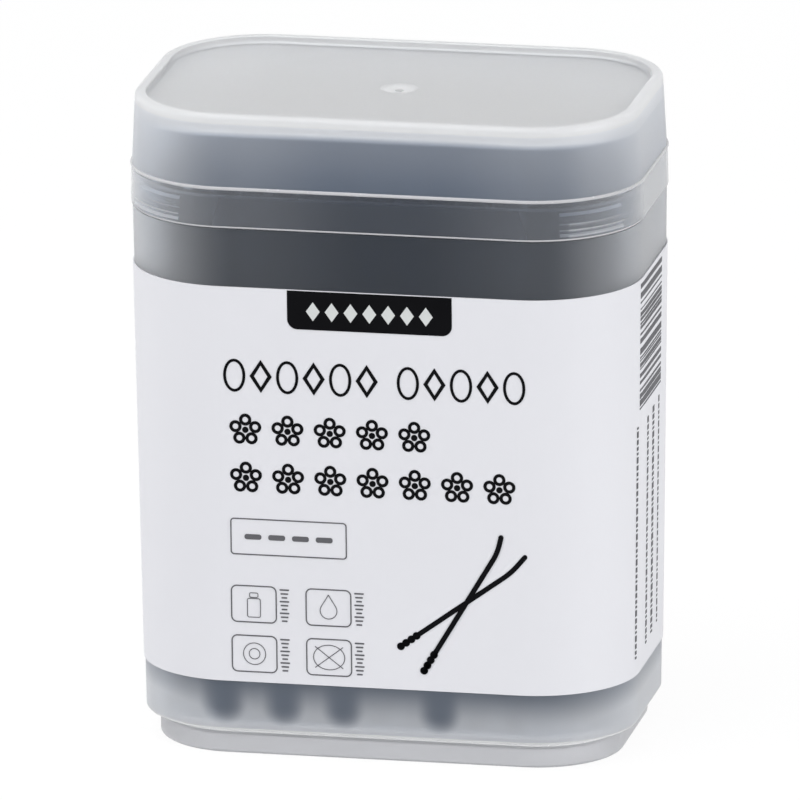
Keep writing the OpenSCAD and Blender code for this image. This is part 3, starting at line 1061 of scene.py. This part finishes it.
def side_columns():
    """Upright columns of short ticks."""
    shapes = []
    for column, u in enumerate(COLUMN_U):
        z = COLUMN_Z[0] + COLUMN_STAGGER * column
        k = column
        while z < COLUMN_Z[1]:
            long = (k * 5 + column * 3) % TICK_LENGTHS
            wide = (k * 3 + column) % TICK_WIDTHS
            length = TICK_LENGTH + TICK_SPREAD * long / (TICK_LENGTHS - 1)
            half = (TICK_WIDTH + TICK_SPREAD * wide / (TICK_WIDTHS - 1)) / 2
            top = z + length
            shapes.append(filled([(u - half, z), (u + half, z), (u + half, top), (u - half, top)]))
            z += length + TICK_GAP
            k += 1
    return shapes


# Floor, world and lamps

def white_to_the_eye(nodes, links, share):
    """A mix of two shaders, of which only camera, glossy and transmission rays see the second."""
    path = nodes.new("ShaderNodeLightPath")
    seen = nodes.new("ShaderNodeMath")
    seen.operation = "MAXIMUM"
    both = nodes.new("ShaderNodeMath")
    both.operation = "MAXIMUM"
    part = nodes.new("ShaderNodeMath")
    part.operation = "MULTIPLY"
    part.inputs[1].default_value = share
    links.new(path.outputs["Is Camera Ray"], seen.inputs[0])
    links.new(path.outputs["Is Glossy Ray"], seen.inputs[1])
    links.new(seen.outputs[0], both.inputs[0])
    links.new(path.outputs["Is Transmission Ray"], both.inputs[1])
    links.new(both.outputs[0], part.inputs[0])
    mix = nodes.new("ShaderNodeMixShader")
    links.new(part.outputs[0], mix.inputs[0])
    return mix


def make_floor():
    """A white floor that bounces a little less light than it shows."""
    size = FLOOR_SIZE
    corners = [(-size, -size, 0), (size, -size, 0), (size, size, 0), (-size, size, 0)]
    mesh = bpy.data.meshes.new("floor")
    mesh.from_pydata(corners, [], [(0, 1, 2, 3)])
    floor = bpy.data.objects.new("floor", mesh)
    bpy.context.scene.collection.objects.link(floor)
    material, nodes, links, shader = new_material("floor_white")
    shader.inputs["Base Color"].default_value = tint(FLOOR_SHADE)
    shader.inputs["Roughness"].default_value = FLOOR_ROUGH
    mix = white_to_the_eye(nodes, links, FLOOR_WHITE)
    glow = nodes.new("ShaderNodeEmission")
    glow.inputs["Color"].default_value = (1, 1, 1, 1)
    glow.inputs["Strength"].default_value = FLOOR_GLOW
    links.new(shader.outputs[0], mix.inputs[1])
    links.new(glow.outputs[0], mix.inputs[2])
    links.new(mix.outputs[0], nodes["Material Output"].inputs["Surface"])
    mesh.materials.append(material)


def make_world():
    """Soft light all round. The eye sees white, and reflections from the front side see a cooler shade."""
    world = bpy.data.worlds.new("studio")
    world.use_nodes = True
    bpy.context.scene.world = world
    nodes = world.node_tree.nodes
    links = world.node_tree.links
    mix = white_to_the_eye(nodes, links, 1)
    soft = nodes["Background"]
    soft.inputs["Color"].default_value = tint(AMBIENT_SHADE)
    soft.inputs["Strength"].default_value = AMBIENT_STRENGTH
    white = nodes.new("ShaderNodeBackground")
    direction = nodes.new("ShaderNodeTexCoord")
    towards = nodes.new("ShaderNodeVectorMath")
    towards.operation = "DOT_PRODUCT"
    towards.inputs[1].default_value = FRONT_DIRECTION
    links.new(direction.outputs["Generated"], towards.inputs[0])
    front = soft_step(nodes, towards.outputs["Value"], links.new)
    front.inputs["From Min"].default_value = FRONT_START
    front.inputs["From Max"].default_value = FRONT_END
    seen = nodes.new("ShaderNodeLightPath")
    reflected = nodes.new("ShaderNodeMath")
    reflected.operation = "SUBTRACT"
    reflected.use_clamp = True
    links.new(front.outputs["Result"], reflected.inputs[0])
    links.new(seen.outputs["Is Camera Ray"], reflected.inputs[1])
    shade = nodes.new("ShaderNodeMix")
    shade.data_type = "RGBA"
    shade.inputs["A"].default_value = (1, 1, 1, 1)
    shade.inputs["B"].default_value = tint(FRONT_SHADE)
    links.new(reflected.outputs[0], shade.inputs["Factor"])
    links.new(shade.outputs["Result"], white.inputs["Color"])
    links.new(soft.outputs[0], mix.inputs[1])
    links.new(white.outputs[0], mix.inputs[2])
    links.new(mix.outputs[0], nodes["World Output"].inputs["Surface"])


def soft_lamp(name, place, size, watts):
    """A square soft box aimed at the middle of the object."""
    light = bpy.data.lights.new(name, "AREA")
    light.shape = "SQUARE"
    light.size = size
    light.energy = watts
    lamp = bpy.data.objects.new(name, light)
    lamp.location = place
    aim = Vector(LAMP_AIM) - Vector(place)
    lamp.rotation_euler = aim.to_track_quat("-Z", "Y").to_euler()
    bpy.context.scene.collection.objects.link(lamp)


place_camera()
make_world()
make_floor()
for name, lamp in LAMPS.items():
    soft_lamp(name, **lamp)

speckle = speckle_group()
painted_light = painted_light_group()
plastics = {name: frosted_plastic(speckle, name, **look) for name, look in PLAIN_PLASTICS.items()}
for name, look in PAINTED_LIGHT_PLASTICS.items():
    heads = heads_by_the_wall() if name == "hazy_base" else ()
    plastics[name] = painted_light_plastic(speckle, painted_light, name, heads=heads, **look)
# Painted glints of the snap beads on the outside of the skirt.
paint_bead_glints(plastics["hazy_skirt"])
matts = {name: matt(speckle, name, **look) for name, look in MATT_LOOKS.items()}
for name, (dark, light) in INK_SHADES.items():
    matts[name] = matt(speckle, name, dark=dark, light=light, **INK_LOOK)
black = matts["black_ink"]
grey = matts["grey_ink"]

zoned("body_shell", "frosted_body", BODY_CUTS, plastics, body_zone)
zoned("lid", "frosted_lid", LID_CUTS, plastics, lid_zone)
dress("label", matts["label_paper"])
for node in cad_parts:
    if node.startswith("sticks_row"):
        dress(node, matts["rolled_paper"])
    elif node.startswith("cotton_row"):
        dress(node, matts["wound_cotton"])

print_on_label("print_tab", tab_shape(), black)
print_on_label("print_tab_marks", tab_marks(), matts["pale_ink"], level=1)
print_on_label("print_rows", ornament_rows(), black)
print_on_label("print_signs", signs(), grey)
print_on_label("print_swab_low", swab_figure(*SWAB_LOW), black)
print_on_label("print_swab_high", swab_figure(*SWAB_HIGH), black, level=1)
print_on_label("print_stripes", side_stripes(), grey)
print_on_label("print_columns", side_columns(), grey)

bpy.context.scene.view_settings.view_transform = "Standard"
